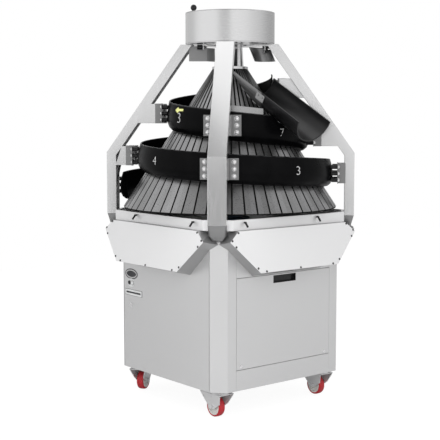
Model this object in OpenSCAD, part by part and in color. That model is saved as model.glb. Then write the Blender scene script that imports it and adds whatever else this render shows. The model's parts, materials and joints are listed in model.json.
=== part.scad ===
// Conical dough rounder: a ribbed cone turns inside a fixed spiral track.
// The origin lies on the floor, on the cone's axis. The door side faces -Y.
// Millimetres and degrees.

/* [Cabinet] */
// Width of the cabinet over its panels
cabinet_w = 716; // [704:2:724]
// Length cut off each face at the vertical corners
corner_cut = 51; // [47:1:54]
// Height of the cabinet's underside above the floor
cabinet_z = 120; // [120:0.5:124]
// Thickness of the panels, posts and rails
sheet = 2; // [1.5:0.5:3]
// Thickness of the base plate
base_t = 4; // [3:1:6]
// Width of the post's flange beside the door
post_flange = 45; // [42:1:48]

/* [Door] */
// Top of the plinth under the door
plinth_top = 203.5; // [195:0.5:210]
// Height of the door
door_h = 374; // [360:1:374]
// Depth of the door pan
door_depth = 20; // [16:1:24]
// Gap round the door
door_gap = 2; // [1.5:0.5:3]
// Radius of the door's pivot pins
pivot_r = 4; // [3:0.5:4.5]
// Height of the pivot above the door's lower edge
pivot_up = 10.5; // [9:0.5:12]
// Width of the door's pull cup
pull_w = 126; // [110:2:140]
// Height of the door's pull cup
pull_h = 32; // [28:1:34]

/* [Deck] */
// Width of the deck over its rims
deck_w = 790; // [784:2:796]
// Underside of the deck
deck_z = 778; // [776:1:779]
// Height of the deck's rim
rim_h = 43; // [40:1:46]
// Width of the rim's turned-in lip
rim_lip = 12; // [10:1:16]
// Thickness of the deck's floor
deck_t = 3; // [2:0.5:4]

/* [Legs] */
// Distance from the axis to the outer face of a leg
leg_r = 541; // [538:1:544]
// Width of a leg
leg_w = 75; // [72:1:77]
// Depth of a leg
leg_depth = 42; // [38:1:44]
// Thickness of a leg's sheet
leg_t = 3; // [2.5:0.5:4]
// Height of the leg's foot
leg_z = 803; // [800:1:806]
// Height of the bend
bend_z = 1073; // [1068:1:1078]
// Lean of the upper part from the vertical
lean = 35.3; // [35:0.1:35.6]

/* [Skirts] */
// Distance from the axis to the lower edge of a skirt's face
skirt_d = 454; // [450:1:458]
// Lean of a skirt's face from the vertical
skirt_lean = 13.9; // [13:0.1:15]
// Height of a skirt's lower edge
skirt_z = 609; // [606:1:612]
// Half width of a skirt at its lower edge
skirt_low = 216; // [210:1:222]
// Half width of a skirt at its side corners
skirt_mid = 348; // [344:1:349]
// Half width of a skirt at its top
skirt_top = 298; // [292:1:302]
// Height of a skirt's side corners above its lower edge
skirt_mid_h = 129; // [124:1:134]
// Thickness of a skirt's cover
cover_t = 3; // [2:0.5:4]
// Width of the cover's flange beyond the box
flange_w = 8; // [7:0.5:10]
// Wall of a skirt's box
box_wall = 3; // [2:0.5:4]
// Radius of a cover screw's head
screw_r = 3.4; // [2.5:0.1:3.6]

/* [Cone] */
// Radius of the cone's lower edge
cone_r = 467; // [463:1:470]
// Radius of the cone's top
cone_top_r = 76.5; // [74:0.5:79]
// Height of the cone's lower edge
cone_z = 837; // [834:1:840]
// Height of the cone's top
cone_top_z = 1432; // [1428:1:1436]
// Wall of the cone
cone_wall = 8; // [7:0.5:10]
// Number of ribs
ribs = 56; // [48:1:60]
// Width of the groove between two ribs
groove_w = 7; // [5:0.5:8]
// Depth of the groove
groove_d = 3.5; // [2:0.5:4.5]

/* [Spiral track] */
// Height of the track's middle where it starts
track_z = 924; // [920:1:928]
// Climb of the first quarter turn
track_climb = 27.5; // [26.5:0.1:28.5]
// Growth of the climb with each quarter turn
track_growth = 1.53; // [1.5:0.01:1.56]
// Height of the track's wall
track_h = 120; // [114:1:124]
// How far the wall stands out from its lower lip
track_bulge = 37; // [34:1:40]
// Thickness of the track's wall
track_wall = 6; // [5:0.5:7]
// Gap between the lower lip and the cone
track_gap = 2; // [1.5:0.1:3]
// Quarter turns from the start to the end
track_end = 9.97; // [9.94:0.01:9.98]
// Gap between two track pieces
joint_gap = 0.8; // [0.5:0.1:1.5]

/* [Track brackets] */
// Height of a bracket
bracket_h = 86; // [80:1:90]
// Reach of a bracket's flange beside the leg
bracket_reach = 40; // [36:1:42]
// Length of a bracket's web along the leg's tab
bracket_web = 35; // [28:1:38]
// Thickness of a bracket
bracket_t = 3; // [2.5:0.5:4]
// Gap between the bracket and the track's wall
bracket_gap = 20; // [16:1:22]
// Radius of a track bolt
bolt_r = 4; // [3:0.5:5]
// Spacing of the bolts
bolt_pitch = 28; // [26:1:32]

/* [Chute] */
// Outer radius of the half pipe
chute_r = 90; // [88:1:91]
// Wall of the half pipe
chute_wall = 6; // [5:0.5:7]
// Sideways place of the half pipe's centre line
chute_x = 40; // [39:1:42]
// Distance from the axis to the outlet
chute_out = 488; // [484:1:490]
// Height of the outlet's rims
chute_z = 1205.7; // [1204:0.1:1207]
// Slope of the half pipe
chute_slope = 28.1; // [27.9:0.1:28.3]
// Length of the half pipe
chute_len = 385; // [380:1:388]
// Length of its near wall made of plastic
chute_near_len = 252; // [246:1:256]
// Thickness of the steel guide
guide_t = 2; // [1.5:0.5:3]

/* [Flour drum] */
// Radius of the drum
drum_r = 193; // [190:0.5:195]
// Height of the drum's lower edge
drum_z = 1542; // [1540:1:1544]
// Height of the drum's top
drum_top = 1672.5; // [1668:0.5:1676]
// Wall of the drum
drum_wall = 2; // [1.5:0.5:3]
// Thickness of the ring that carries the drum
ring_t = 4; // [3:0.5:5]
// Radius of the lid's ball knob
ball_r = 13; // [11:0.5:14]
// Height of the ball's centre above the lid
ball_up = 14.5; // [14:0.5:18]
// Radius of the ball knob's place
ball_at = 181; // [170:1:182]
// Direction of the ball knob, seen from the axis
ball_az = 172; // [165:1:180]

/* [Flour deflectors] */
// Direction of the left deflector
left_az = 141; // [138:1:144]
// Direction of the right deflector
right_az = -39; // [-42:1:-36]
// Height of the clamping screws
clamp_z = 1527; // [1525:1:1527]
// Radius of a clamping knob
clamp_knob_r = 10; // [8:0.5:10]
// Radius of a clamping screw
clamp_r = 4; // [3:0.5:5]
// Lower edge of the deflectors
deflector_z = 1467; // [1460:1:1472]
// Thickness of the deflectors
deflector_t = 2; // [1.5:0.5:2.5]

/* [Drive] */
// Radius of the main shaft
shaft_r = 25; // [22:1:27]
// Lower end of the main shaft
shaft_z = 470; // [462:1:476]
// Radius of the two drive rods above the cone
rod_r = 8; // [7:0.5:9]
// Distance of the drive rods from the axis
rod_at = 40; // [38:0.5:42]
// Radius of the bearing housing
bearing_r = 58; // [54:1:60]
// Height of the gearbox's middle
gear_z = 555; // [550:1:560]
// Number of teeth on the worm wheel
wheel_teeth = 30; // [24:1:36]
// Radius of the worm wheel
wheel_r = 69; // [66:1:69]
// Radius of the worm
worm_r = 20; // [18:0.5:20]
// Distance between the shaft and the worm
worm_y = 90; // [90:0.5:92]
// Radius of the worm's shaft
worm_shaft_r = 12; // [10:0.5:13]
// Radius of the motor
motor_r = 62; // [56:1:64]
// Length of the motor
motor_l = 225; // [200:1:235]

/* [Controls] */
// Distance of the controls from the panel's middle
control_y = 245; // [240:1:248]
// Height of the two push buttons
button_z = 502; // [498:1:506]
// Radius of a push button
button_r = 8; // [7:0.5:9]
// Spacing of the push buttons
button_pitch = 23; // [22:0.5:24]
// Height of the cam lock
lock_z = 404; // [398:1:410]
// Radius of the cam lock's face
lock_r = 9; // [8:0.5:10]

/* [Casters] */
// Distance of the casters' pivots from each middle plane
caster_at = 285; // [282:1:285]
// Radius of a caster wheel
wheel_rad = 43; // [42:0.5:44]
// Width of the tread
tread_w = 32; // [28:1:32]
// Distance from the pivot to the wheel's middle
trail = 30; // [28:1:32]
// Radius of a caster's axle
axle_r = 5; // [4:0.5:6]
// Radius of a caster's king pin
king_r = 6; // [5:0.5:7]
// Side of a caster's plate
plate_w = 92; // [88:1:96]

/* [Hidden] */
$fn = 64;
// Running clearance on a radius
fit = 0.05;
// Clearance between bodies that move apart
clear = 0.3;
// How far a cutting shape runs past the face it cuts
over = 1;
root2 = sqrt(2);
side = cabinet_w / 2;
cut_r = (cabinet_w - corner_cut) / root2;
flat = side - corner_cut;
bay = flat - post_flange;
deck_side = deck_w / 2;
deck_corner = leg_r - leg_depth - clear;
rim_top = deck_z + rim_h;
door_z = plinth_top + door_gap;
door_top = door_z + door_h;
pivot_z = door_z + pivot_up;
pivot_y = -side + sheet + pivot_r;
pull_z = door_top - pull_h - 4;
leg_top = drum_z - ring_t;
leg_across = leg_depth / cos(lean);
bend_in = bend_z - (leg_across - leg_depth) / tan(lean);
cone_slope = (cone_r - cone_top_r) / (cone_top_z - cone_z);
half_angle = atan(cone_slope);
wall_across = cone_wall / cos(half_angle);
drum_floor = drum_z + 3;
cap_t = 11;
dough_az = 135;
cab = "Gainsboro";
steel = "Silver";
black = [0.08, 0.08, 0.08];
red = [0.75, 0.12, 0.12];

// Square of half width h whose corners are cut at a distance c from the axis
function octagon(h, c) = let (e = c * root2 - h)
    [[h, e], [e, h], [-e, h], [-h, e], [-h, -e], [-e, -h], [e, -h], [h, -e]];
// Radius of the cone at a height
function cone_at(z) = cone_top_r + (cone_top_z - z) * cone_slope;
// Height of the track's middle after k quarter turns
function mid_z(k) = track_z + track_climb * k + track_growth * k * k;
// Radius of the track's lower lip
function lip_r(k) = cone_at(mid_z(k) - track_h / 2) + track_gap;
// The wall stands more upright towards the top of the cone
function fullness(k) = 1 - 0.15 * max(0, k - 6);
function outer_r(k) = lip_r(k) + track_bulge * fullness(k);
function azimuth(k) = dough_az - 90 * k;
// Radius of a bracket's flange at quarter turn k
function flange_u(k) = outer_r(k) + bracket_gap;
// Inner edge of a leg at a height
function leg_inner(z) = z < bend_in ? leg_r - leg_depth
    : leg_r - leg_across - (z - bend_z) * tan(lean);

// Plate of width w in the plane of a radius, drawn as [distance, height]
module upright(pts, w) {
    rotate([90, 0, 0]) linear_extrude(height = w, center = true) polygon(pts);
}

// Plate that faces outwards, drawn as [sideways, height], t thick from x = 0 outwards
module facing(pts, t) {
    rotate([90, 0, 90]) linear_extrude(height = t) polygon(pts);
}

module ring(outer, inner, h) {
    difference() {
        cylinder(r = outer, h = h);
        translate([0, 0, -over]) cylinder(r = inner, h = h + 2 * over);
    }
}

// Cylinder along X from x = a to x = b
module bar_x(r, a, b) {
    translate([a, 0, 0]) rotate([0, 90, 0]) cylinder(r = r, h = b - a);
}

// Cylinder along Y from y = a to y = b
module bar_y(r, a, b) {
    translate([0, a, 0]) rotate([-90, 0, 0]) cylinder(r = r, h = b - a);
}

module cabinet_prism(z0, z1) {
    translate([0, 0, z0]) linear_extrude(height = z1 - z0) polygon(octagon(side, cut_r));
}

// Cabinet

module base_plate() {
    color(steel) translate([0, 0, cabinet_z]) linear_extrude(height = base_t)
        polygon(octagon(side - sheet, cut_r - sheet));
}

module corner_posts() {
    in_flat = (cut_r - sheet) * root2 - side;
    in_back = (cut_r - sheet) * root2 - side + sheet;
    color(cab) for (sx = [-1, 1], sy = [-1, 1])
        scale([1, 1, 1]) translate([0, 0, cabinet_z]) mirror([sx > 0 ? 1 : 0, 0, 0])
            mirror([0, sy > 0 ? 1 : 0, 0]) linear_extrude(height = deck_z - cabinet_z)
                polygon([[-side, -flat], [-flat, -side], [-bay, -side], [-bay, -side + sheet],
                    [-in_back, -side + sheet], [-side, -in_flat]]);
}

module panel_plate(w) {
    lip = 15;
    translate([0, -w / 2, cabinet_z]) {
        cube([sheet, w, deck_z - cabinet_z]);
        translate([-lip, 0, base_t]) cube([lip + sheet, w, sheet]);
        translate([-lip, 0, deck_z - cabinet_z - sheet]) cube([lip + sheet, w, sheet]);
    }
}

module cabinet_panels() {
    in_flat = (cut_r - sheet) * root2 - side;
    color(cab) {
        difference() {
            rotate([0, 0, 180]) translate([side - sheet, 0, 0]) panel_plate(2 * in_flat - 4);
            for (s = [-1, 1]) translate([0, control_y + s * button_pitch / 2, button_z])
                bar_x(button_r + over, -side - over, -side + sheet + over);
            translate([0, control_y, lock_z])
                bar_x(lock_r * 2 / 3 + fit, -side - over, -side + sheet + over);
        }
        translate([side - sheet, 0, 0]) panel_plate(2 * in_flat - 4);
        difference() {
            rotate([0, 0, 90]) translate([side - sheet, 0, 0]) panel_plate(2 * bay - 0.6);
            translate([-bay + 70, 0, cabinet_z + 60]) bar_y(10, side - sheet - over, side + over);
        }
    }
}

module front_rails() {
    lug = 14;
    color(cab) {
        translate([-bay + 0.4, -side, cabinet_z])
            cube([2 * bay - 0.8, sheet, plinth_top - cabinet_z]);
        translate([-bay + 0.4, -side, door_top + door_gap])
            cube([2 * bay - 0.8, sheet, deck_z - door_top - door_gap]);
        for (s = [-1, 1]) mirror([s > 0 ? 1 : 0, 0, 0]) {
            translate([-bay - lug, -side + sheet, pivot_z - lug / 2])
                cube([lug - over, 2 * pivot_r + 2, lug]);
            translate([0, pivot_y, pivot_z]) bar_x(pivot_r, -bay - lug / 2, -bay + 6);
        }
    }
}

module door() {
    w = bay - over;
    color(cab) difference() {
        union() {
            difference() {
                translate([-w, -side, door_z]) cube([2 * w, door_depth, door_h]);
                translate([-w + sheet, -side + sheet, door_z + sheet])
                    cube([2 * (w - sheet), door_depth, door_h - 2 * sheet]);
            }
        }
        translate([-pull_w / 2, -side - over, pull_z]) cube([pull_w, door_depth, pull_h]);
        for (s = [-1, 1]) mirror([s > 0 ? 1 : 0, 0, 0]) translate([0, pivot_y, pivot_z])
            bar_x(pivot_r + fit, -w - over, -w + sheet + over);
    }
}

module door_pull() {
    rim = 2;
    color(black) translate([-pull_w / 2, -side, pull_z]) difference() {
        cube([pull_w, door_depth - 4, pull_h]);
        translate([rim, -over, rim])
            cube([pull_w - 2 * rim, door_depth - 4 - rim + over, pull_h - 2 * rim]);
    }
}

module control_plate() {
    w = button_pitch + 23;
    color("WhiteSmoke") difference() {
        translate([-side - sheet, control_y - w / 2, button_z - 14]) cube([sheet, w, 28]);
        for (s = [-1, 1]) translate([0, control_y + s * button_pitch / 2, button_z])
            bar_x(button_r + fit, -side - sheet - over, -side + over);
    }
}

module push_button() {
    bar_x(button_r, -side - sheet - 4, -side + sheet + 1);
    bar_x(button_r + 2, -side + sheet + clear, -side + sheet + 5);
}

module start_button() {
    color("LightGray") translate([0, control_y - button_pitch / 2, button_z]) push_button();
}

module stop_button() {
    color(black) translate([0, control_y + button_pitch / 2, button_z]) push_button();
}

module cam_lock() {
    color("LightGray") translate([0, control_y, lock_z]) {
        difference() {
            bar_x(lock_r, -side - 4, -side - clear);
            translate([-side - 4 - over, -1, -lock_r * 0.6]) cube([2 + over, 2, lock_r * 1.2]);
        }
        bar_x(lock_r * 2 / 3, -side - clear, -side + sheet + 8);
        translate([-side + sheet + 5, -6, -30]) cube([3, 12, 36]);
    }
}

module label_plates() {
    badge = [47, 23];
    thin = 0.6;
    badge_z = button_z + 39;
    color("DimGray") translate([-side - thin, control_y, 0]) {
        translate([0, 0, badge_z]) facing([for (i = [0:47])
            [badge.x * cos(i * 7.5), badge.y * sin(i * 7.5)]], thin);
        translate([0, -80, button_z - 57]) cube([thin, 128, 27]);
    }
}

module cable_gland() {
    color(black) translate([-bay + 70, 0, cabinet_z + 60]) difference() {
        union() {
            bar_y(10 - fit, side - sheet - 8, side + over);
            translate([0, 0, 0]) bar_y(16, side, side + 6);
            bar_y(12, side + 6, side + 20);
            bar_y(15, side - sheet - 6, side - sheet);
        }
        bar_y(5, side - 20, side + 25);
    }
}

// Deck and legs

module deck() {
    hole = bearing_r + fit;
    color(cab) difference() {
        translate([0, 0, deck_z]) linear_extrude(height = rim_h)
            polygon(octagon(deck_side, deck_corner));
        translate([0, 0, deck_z + deck_t]) linear_extrude(height = rim_h - 2 * deck_t)
            polygon(octagon(deck_side - deck_t, deck_corner - deck_t));
        translate([0, 0, deck_z + deck_t]) linear_extrude(height = rim_h)
            polygon(octagon(deck_side - rim_lip, deck_corner - rim_lip));
        translate([0, 0, deck_z - over]) cylinder(r = hole, h = rim_h);
    }
}

module corner_gussets() {
    tip_z = deck_z - 46;
    color(steel) for (az = [45:90:315]) rotate([0, 0, az]) difference() {
        hull() {
            translate([deck_corner, -leg_w / 2, leg_z - 3]) cube([leg_depth + clear, leg_w, 3]);
            translate([deck_corner + 2, 0, deck_z - 4]) cylinder(r = 30, h = 1, $fn = 32);
            translate([cut_r + 4, 0, tip_z]) cylinder(r = 8, h = 1, $fn = 32);
        }
        translate([0, 0, deck_z - 200]) rotate([0, 0, -az]) cabinet_prism(0, 200);
        rotate([0, 0, -az]) translate([0, 0, deck_z - over]) linear_extrude(height = 60)
            polygon(octagon(deck_side, deck_corner));
    }
}

// Folded channel, open towards the axis, with tabs at the given quarter turns
module leg(az, turns) {
    slope = tan(lean);
    web = leg_t / cos(lean);
    top_u = leg_r - (leg_top - bend_z) * slope;
    up_u = leg_r - web - (leg_top + over - bend_z) * slope;
    color(cab) rotate([0, 0, az]) {
        difference() {
            upright([[leg_r, leg_z], [leg_r, bend_z], [top_u, leg_top],
                [top_u - leg_across, leg_top], [leg_r - leg_depth, bend_in],
                [leg_r - leg_depth, leg_z]], leg_w);
            upright([[leg_r - leg_t, leg_z - over],
                [leg_r - leg_t, bend_z - (web - leg_t) / slope], [up_u, leg_top + over],
                [up_u - 2 * leg_across, leg_top + over], [leg_r - 2 * leg_depth, bend_in - 40],
                [leg_r - 2 * leg_depth, leg_z - over]], leg_w - 2 * leg_t);
        }
        for (k = turns) leg_tabs(k);
    }
}

// The last turn has one tab, on the side of the track
module leg_tabs(k) {
    half = bracket_h / 2 - 1;
    low = mid_z(k) - half;
    high = mid_z(k) + half;
    end_u = flange_u(k) + 2 * bracket_t;
    if (end_u < leg_inner(low)) for (s = k > 9.5 ? [1] : [-1, 1])
        translate([0, s * (leg_w - leg_t) / 2, 0]) upright([[end_u, low], [end_u, high],
            [leg_inner(high) + leg_t, high], [leg_inner(low) + leg_t, low]], leg_t);
}

module leg_front_left() { leg(225, [3, 7]); }
module leg_front_right() { leg(315, [2, 6, 10]); }
module leg_back_left() { leg(135, [4, 8]); }
module leg_back_right() { leg(45, [1, 5, 9]); }

// Skirts

// Point on a skirt's leaning face: t sideways, s up the face, out beyond it
function on_face(t, s, out) = [skirt_d - s * sin(skirt_lean) + out * cos(skirt_lean), t,
    skirt_z + s * cos(skirt_lean) + out * sin(skirt_lean)];
function up_face(z) = (z - skirt_z) / cos(skirt_lean);
function face_outline(in) = let (m = skirt_mid_h / cos(skirt_lean), u = up_face(deck_z))
    [[in - skirt_low, in], [skirt_low - in, in], [skirt_mid - in, m], [skirt_top - in, u],
        [in - skirt_top, u], [in - skirt_mid, m]];
// Outline where the box meets the middle of the posts
function back_outline(in) = let (d = cut_r / root2) [for (p = [[in - 170, skirt_z - 34 + in],
    [170 - in, skirt_z - 34 + in], [d - 1 - in, skirt_z + skirt_mid_h - 18],
    [skirt_top + 2 - in, deck_z], [in - skirt_top - 2, deck_z],
    [in - d + 1, skirt_z + skirt_mid_h - 18]]) [d - in, p.x, p.y]];
box_faces = [[0, 1, 2, 3, 4, 5], [11, 10, 9, 8, 7, 6], [1, 0, 6, 7], [2, 1, 7, 8], [3, 2, 8, 9],
    [4, 3, 9, 10], [5, 4, 10, 11], [0, 5, 11, 6]];

module skirt_block(in, out) {
    front = [for (p = face_outline(in)) on_face(p.x, p.y, out)];
    hull() polyhedron(points = concat(front, back_outline(in - flange_w)), faces = box_faces);
}

module skirt_boxes() {
    color(cab) for (az = [0:90:270]) rotate([0, 0, az]) difference() {
        skirt_block(flange_w, 0);
        intersection() {
            skirt_block(flange_w + box_wall, over);
            translate([0, -side, 0])
                cube([side * 2, side * 2, deck_z - box_wall]);
            translate([side + box_wall, -side, 0]) cube([side, side * 2, deck_z]);
        }
        rotate([0, 0, -az]) cabinet_prism(cabinet_z, deck_z + over);
    }
}

module skirt_covers() {
    color("WhiteSmoke") for (az = [0:90:270]) rotate([0, 0, az])
        translate([skirt_d, 0, skirt_z]) rotate([0, -skirt_lean, 0])
            facing(face_outline(0), cover_t);
}

// Screws along the lower edge and the slanted edges of each cover
function screw_places() = let (e = face_outline(5))
    [for (f = [0.06, 0.5, 0.94]) e[0] * (1 - f) + e[1] * f,
        for (p = [[1, 2], [2, 3]], f = [0.12, 0.84], m = [-1, 1])
            let (q = e[p[0]] * (1 - f) + e[p[1]] * f) [m * q.x, q.y]];

module cover_screws() {
    color("DimGray") for (az = [0:90:270]) rotate([0, 0, az])
        translate([skirt_d, 0, skirt_z]) rotate([0, -skirt_lean, 0]) for (q = screw_places())
            translate([0, q.x, q.y]) bar_x(screw_r, cover_t, cover_t + 2);
}

// Two pegs on each rim, nearer to the front-left and back-right corners
module rim_catches() {
    peg_r = 4;
    color(black) for (az = [0, 180], m = [0, 1]) rotate([0, 0, az]) mirror([m, -m, 0])
        for (y = [252, -148]) translate([deck_side, y, rim_top - 14]) {
            translate([0, 0, 2]) bar_x(peg_r, 0, 10);
            translate([7, 0, 2]) rotate([0, 140, 0]) cylinder(r = peg_r, h = 22);
        }
}

// Spiral track

// Outline of the wall from the lower lip up, as [outwards, upwards]
function wall_outline() = let (b = track_bulge, h = track_h / 2, w = track_wall,
    out = [[0, -1], [0.38, -0.95], [0.73, -0.78], [0.92, -0.53], [1, -0.2], [0.97, 0.25],
        [0.84, 0.67], [0.68, 1]])
    concat([for (p = out) [p.x * b, p.y * h]],
        [for (i = [7:-1:0]) [out[i].x * b - w * (i < 2 ? 0.25 * i : 1) + (i == 0 ? 1 : 0),
            out[i].y * h + w * (i == 0 ? 0.9 : i < 3 ? 0.8 : i < 4 ? 0.35 : 0)]]);

// Point of an outline at quarter turn k
function on_turn(p, k) = let (r = lip_r(k) + p.x * fullness(k), a = azimuth(k))
    [r * cos(a), r * sin(a), mid_z(k) + p.y];

// Solid that carries an outline from quarter turn k0 to k1
module sweep(outline, k0, k1, steps) {
    n = len(outline);
    rings = [for (i = [0:steps], p = outline) on_turn(p, k0 + (k1 - k0) * i / steps)];
    walls = [for (i = [0:steps - 1], j = [0:n - 1]) each let (a = i * n + j,
        b = i * n + (j + 1) % n) [[a, a + n, b + n], [a, b + n, b]]];
    ends = [[for (j = [0:n - 1]) j], [for (j = [n - 1:-1:0]) steps * n + j]];
    polyhedron(points = rings, faces = concat(walls, ends), convexity = 6);
}

// Part of a quarter turn that half the joint gap takes
function half_gap(k) = joint_gap / 2 / outer_r(k) * 2 / PI;

module track(first) {
    color(black) for (k = [first, first + 1]) difference() {
        sweep(wall_outline(), k + half_gap(k), min(k + 1 - half_gap(k), track_end), 12);
        if (k == 6) half_pipe(chute_r + over, 0, chute_len, -over);
    }
}

module track_1() { track(0); }
module track_2() { track(2); }
module track_3() { track(4); }
module track_4() { track(6); }
module track_5() { track(8); }

// Sides of the leg that carry the track: clockwise only at the start, the other at the end
function bracket_sides(k) = k == 0 ? [-1] : k == 10 ? [1] : [-1, 1];
bolt_v = leg_w / 2 + bracket_reach / 2 + 1;

module track_brackets() {
    color(steel) for (k = [0:10], s = bracket_sides(k)) rotate([0, 0, azimuth(k)])
        mirror([0, s < 0 ? 1 : 0, 0]) translate([flange_u(k), leg_w / 2, mid_z(k) - bracket_h / 2])
            difference() {
                union() {
                    cube([min(bracket_web, leg_r - flange_u(k) - 2), bracket_t, bracket_h]);
                    cube([bracket_t, bracket_reach, bracket_h]);
                }
                for (i = [-1, 0, 1])
                    translate([0, bolt_v - leg_w / 2, bracket_h / 2 + i * bolt_pitch])
                        bar_x(bolt_r + 0.2, -over, bracket_t + over);
            }
}

// Each bolt runs through its bracket and ends inside the track's wall
module track_bolts() {
    head = 6;
    color(steel) for (k = [0:10], s = bracket_sides(k)) rotate([0, 0, azimuth(k)]) {
        u = flange_u(k);
        kv = k - s * asin(bolt_v / outer_r(k)) / 90;
        tip = sqrt(pow(outer_r(kv) - 4, 2) - bolt_v * bolt_v);
        for (i = [-1, 0, 1]) translate([0, s * bolt_v, mid_z(k) + i * bolt_pitch]) {
            bar_x(bolt_r, tip, u + bracket_t + over);
            bar_x(bolt_r + 6, u + bracket_t, u + bracket_t + 1.5);
            bar_x(bolt_r + 4, u + bracket_t + over, u + bracket_t + head);
            bar_x(bolt_r + 3, u - 4, u);
        }
    }
}

// Chute

// Half pipe from its outlet at s0 to s1 up the slope, open upwards, cut at lip above its axis
module half_pipe(r, s0, s1, lip) {
    translate([chute_x, -chute_out, chute_z]) rotate([chute_slope, 0, 0]) intersection() {
        bar_y(r, s0, s1);
        translate([-2 * r, s0 - over, -2 * r]) cube([4 * r, s1 - s0 + 2 * over, 2 * r + lip]);
    }
}

module cone_room(gap) {
    low = cone_z + 200;
    translate([0, 0, low]) cylinder(r1 = cone_at(low) + gap, r2 = cone_top_r + gap,
        h = cone_top_z - low);
}

module chute() {
    color(black) difference() {
        half_pipe(chute_r, 0, chute_len, 0);
        translate([chute_x, -chute_out, chute_z]) rotate([chute_slope, 0, 0])
            bar_y(chute_r - chute_wall, -over, chute_len + over);
        cone_room(4);
        translate([chute_x, -chute_out, chute_z]) rotate([chute_slope, 0, 0])
            translate([-2 * chute_r, chute_near_len, -2 * chute_r])
                cube([2 * chute_r - 20, chute_len, 3 * chute_r]);
    }
}

module chute_guide() {
    s1 = chute_near_len + 205;
    color(steel) difference() {
        half_pipe(chute_r, chute_near_len + clear, s1, 0);
        translate([chute_x, -chute_out, chute_z]) rotate([chute_slope, 0, 0]) {
            bar_y(chute_r - guide_t, 0, s1 + over);
            translate([-20.3, 0, -2 * chute_r]) cube([2 * chute_r, s1 + over, 3 * chute_r]);
        }
        cone_room(4);
    }
}

// Steel band on the track's rim, and the two plates that hold the chute
module chute_fittings() {
    x = 0.68 * track_bulge - track_wall;
    top = track_h / 2;
    color(steel) {
        sweep([[x - 2.6, top - 22], [x - 0.4, top - 22], [x - 3.8, top + 26], [x - 6, top + 26]],
            6.64, 7.06, 9);
        translate([chute_x - chute_r, -chute_out, chute_z]) rotate([chute_slope, 0, 0]) {
            translate([-3, chute_near_len - 26, -34]) cube([3, 52, 30]);
            for (y = [-13, 13]) translate([0, chute_near_len + y, -15]) bar_x(4, -6, -3);
        }
        translate([chute_x + chute_r, -chute_out, chute_z]) rotate([chute_slope, 0, 0])
            translate([0, chute_len - 14, -34]) cube([3, 26, 36]);
    }
}

// Top

module top_ring() {
    tab = 24;
    color(steel) {
        translate([0, 0, drum_z - ring_t]) ring(drum_r - 3, 104, ring_t);
        rotate([0, 0, left_az]) difference() {
            translate([112, 4, clamp_z - 12]) cube([3, tab, drum_z - ring_t - clamp_z + 12]);
            translate([0, 16, clamp_z]) bar_x(clamp_r + fit, 100, 130);
        }
        rotate([0, 0, right_az]) difference() {
            translate([150, -12, clamp_z - 12]) cube([3, tab, drum_z - ring_t - clamp_z + 12]);
            translate([0, 0, clamp_z]) bar_x(clamp_r + fit, 140, 160);
        }
    }
}

module half_disc(r, h, sign) {
    rotate([0, 0, ball_az]) intersection() {
        cylinder(r = r, h = h);
        translate([sign > 0 ? 0.5 : -2 * r - 0.5, -2 * r, 0]) cube([2 * r, 4 * r, h]);
    }
}

lid_t = 2.5;
hinge_up = 4;
hinge_r = 3.5;
pin_r = 1.8;

// Shell with its sieve floor, and the fixed half of the cover with its hinge pin
module flour_drum() {
    color(steel) {
        difference() {
            translate([0, 0, drum_z]) cylinder(r = drum_r, h = drum_top - drum_z);
            translate([0, 0, drum_floor])
                cylinder(r = drum_r - drum_wall, h = drum_top - lid_t - drum_floor);
            rotate([0, 0, ball_az]) translate([-0.5, -2 * drum_r, drum_top - lid_t - 0.5])
                cube([2 * drum_r, 4 * drum_r, lid_t + 0.5 + over]);
            translate([0, 0, drum_z - over]) cylinder(r = 58, h = 10);
            for (a = [0:30:330], r = [90, 125, 160]) rotate([0, 0, a + r])
                translate([r, 0, drum_z - over]) cylinder(r = 6, h = 10);
        }
        translate([0, 0, drum_top + hinge_up]) rotate([0, 0, ball_az]) {
            bar_y(pin_r, -119, 119);
            for (s = [-1, 1]) translate([0, s * 90, 0]) {
                bar_y(hinge_r, -30, 30);
                translate([-8, -30, -hinge_up - 1]) cube([7.5, 60, 3]);
            }
        }
    }
}

module drum_lid() {
    color(steel) {
        translate([0, 0, drum_top - lid_t + clear]) half_disc(drum_r, lid_t - clear, 1);
        translate([0, 0, drum_top + hinge_up]) rotate([0, 0, ball_az]) difference() {
            union() {
                bar_y(hinge_r, -59, 59);
                translate([0, -59, -hinge_up]) cube([8, 118, 2]);
            }
            bar_y(pin_r + fit, -60, 60);
        }
    }
}

module lid_knob() {
    color(black) rotate([0, 0, ball_az]) translate([ball_at, 0, drum_top]) {
        cylinder(r1 = 8, r2 = 5, h = ball_up - 6);
        translate([0, 0, ball_up]) sphere(r = ball_r);
    }
}

// Height of a deflector's tab above its clamping screw, so that it turns under the ring
tab_up = 5;
// Radius of the right deflector's trough, its place at the lower edge and its slope
trough_r = 42;
deflector_u = 152;
deflector_fall = 68;

module left_deflector() {
    u = 115.3;
    color(steel) rotate([0, 0, left_az]) difference() {
        union() {
            translate([100, -deflector_t, deflector_z])
                cube([78, deflector_t, clamp_z + tab_up - deflector_z]);
            translate([100, 0, deflector_z]) rotate([0, 0, 222])
                cube([46, deflector_t, clamp_z - 2 - deflector_z]);
            translate([u, -deflector_t, clamp_z - 14]) cube([3, 28 + deflector_t, 14 + tab_up]);
        }
        translate([0, 16, clamp_z]) bar_x(clamp_r + fit, 110, 125);
    }
}

// Leaning cylinder that the right deflector is cut from
module leaning(r) {
    translate([deflector_u, 0, deflector_z]) rotate([0, deflector_fall - 90, 0])
        translate([0, 0, -60]) cylinder(r = r, h = 190);
}

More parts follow.
